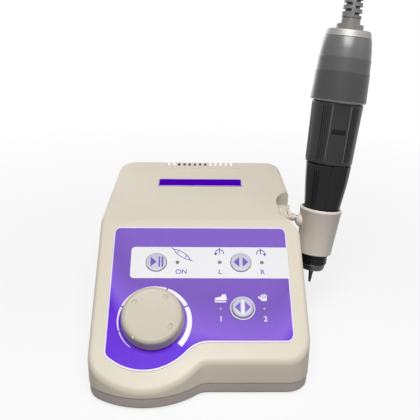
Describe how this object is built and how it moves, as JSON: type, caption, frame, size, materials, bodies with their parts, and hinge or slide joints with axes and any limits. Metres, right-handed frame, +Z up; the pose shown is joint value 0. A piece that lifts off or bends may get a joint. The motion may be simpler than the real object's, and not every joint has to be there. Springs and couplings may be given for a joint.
{
  "type": "nail drill machine",
  "caption": "Wedge-shaped desktop nail drill box with a sloping control panel, large speed knob, push buttons and a corded handpiece standing in a tilting side cup.",
  "frame": {"origin": "on the table, under the middle of the object's bounding box without its free cord", "axes": "+X to the object's right, where the handpiece stands; +Y to the rear; +Z up"},
  "size_m": [0.1671, 0.2389, 0.264],
  "materials": {
    "housing_beige": "satin moulded",
    "base_beige": "satin moulded",
    "panel_purple": "printed film",
    "button_grey": "semi-gloss",
    "lamp_clear": "clear",
    "black_plastic": "gloss",
    "dark_plastic": "matte",
    "sleeve_grey": "satin painted",
    "bright_metal": "polished",
    "steel": "brushed",
    "dark_steel": "ground",
    "copper_wire": "enamelled wire",
    "brass_metal": "turned",
    "board_green": "solder mask",
    "foot_rubber": "matte",
    "cord_rubber": "matte",
    "aluminium_fins": "extruded"
  },
  "bodies": {
    "control_box": {"upper_housing": "housing_beige", "base_cover": "base_beige", "base_screws": "steel", "rubber_feet": "foot_rubber", "panel_overlay": "panel_purple", "top_label": "panel_purple", "potentiometer": "steel", "potentiometer_nut": "steel", "push_switches": "dark_plastic", "indicator_lights": "lamp_clear", "control_board": "board_green", "control_board_screws": "steel", "transformer_core": "dark_steel", "transformer_winding": "copper_wire", "transformer_screws": "steel", "power_board": "board_green", "power_board_screws": "steel", "filter_capacitor": "dark_plastic", "heat_sink": "aluminium_fins", "power_switch": "black_plastic", "rocker_pin": "steel", "mains_inlet": "black_plastic", "inlet_pins": "bright_metal", "handpiece_socket": "dark_plastic", "pedal_jack": "black_plastic", "holder_bracket": "housing_beige", "bracket_screws": "steel", "holder_pin": "steel", "cord_drop": "cord_rubber", "cord_coil": "cord_rubber", "cord_lead": "cord_rubber", "cord_tie": "black_plastic", "cord_plug": "dark_plastic"},
    "speed_control": {"speed_knob": "housing_beige", "knob_shaft": "steel"},
    "run_key": {"run_button": "button_grey"},
    "direction_key": {"direction_button": "button_grey"},
    "mode_key": {"mode_button": "button_grey"},
    "rocker": {"power_rocker": "black_plastic"},
    "holder": {"holder_cup": "base_beige"},
    "handpiece": {"nose_piece": "dark_steel", "nose_ring": "black_plastic", "front_grip": "black_plastic", "rear_sleeve": "sleeve_grey", "tail_ring": "bright_metal", "end_cap": "sleeve_grey", "cord_boot": "cord_rubber", "spindle_tube": "steel", "front_bearing": "steel", "rear_bearing": "steel", "motor_plate": "aluminium_fins", "motor_can": "steel", "motor_magnets": "dark_plastic", "cord_arch": "cord_rubber"},
    "chuck_ring": {"twist_ring": "black_plastic"},
    "rotating_group": {"spindle": "steel", "collet": "brass_metal", "drill_bit": "dark_steel", "motor_rotor": "copper_wire"}
  },
  "joints": [
    {"name": "speed_knob_turn", "type": "hinge", "parent": "control_box", "child": "speed_control", "pos_m": [-0.0466, -0.05322, 0.03546], "axis": [0, 0.5807, -0.8141], "range_deg": [0, 276]},
    {"name": "run_button_press", "type": "slide", "parent": "control_box", "child": "run_key", "axis": [0, 0.5807, -0.8141], "range_m": [0, 0.0008], "stiffness_N_per_m": 900},
    {"name": "direction_button_press", "type": "slide", "parent": "control_box", "child": "direction_key", "axis": [0, 0.5807, -0.8141], "range_m": [0, 0.0008], "stiffness_N_per_m": 900},
    {"name": "mode_button_press", "type": "slide", "parent": "control_box", "child": "mode_key", "axis": [0, 0.5807, -0.8141], "range_m": [0, 0.0008], "stiffness_N_per_m": 900},
    {"name": "power_rocker_tilt", "type": "hinge", "parent": "control_box", "child": "rocker", "pos_m": [-0.0486, 0.0785, 0.052], "axis": [-1, 0, 0], "range_deg": [0, 22]},
    {"name": "holder_tilt", "type": "hinge", "parent": "control_box", "child": "holder", "pos_m": [0.05457, 0.01372, 0.06813], "axis": [0.9945, 0, -0.1045], "range_deg": [-20, 20], "deforming": ["cord_arch", "cord_drop"]},
    {"name": "handpiece_lift", "type": "slide", "parent": "holder", "child": "handpiece", "axis": [0.1034, 0.1478, 0.9836], "range_m": [0, 0.08], "deforming": ["cord_arch", "cord_drop"]},
    {"name": "chuck_twist", "type": "hinge", "parent": "handpiece", "child": "chuck_ring", "pos_m": [0.0554, 0.0149, 0.076], "axis": [0.1034, 0.1478, 0.9836], "range_deg": [0, 60]},
    {"name": "spindle_spin", "type": "hinge", "parent": "handpiece", "child": "rotating_group", "pos_m": [0.0554, 0.0149, 0.076], "axis": [0.1034, 0.1478, 0.9836], "continuous": true}
  ]
}
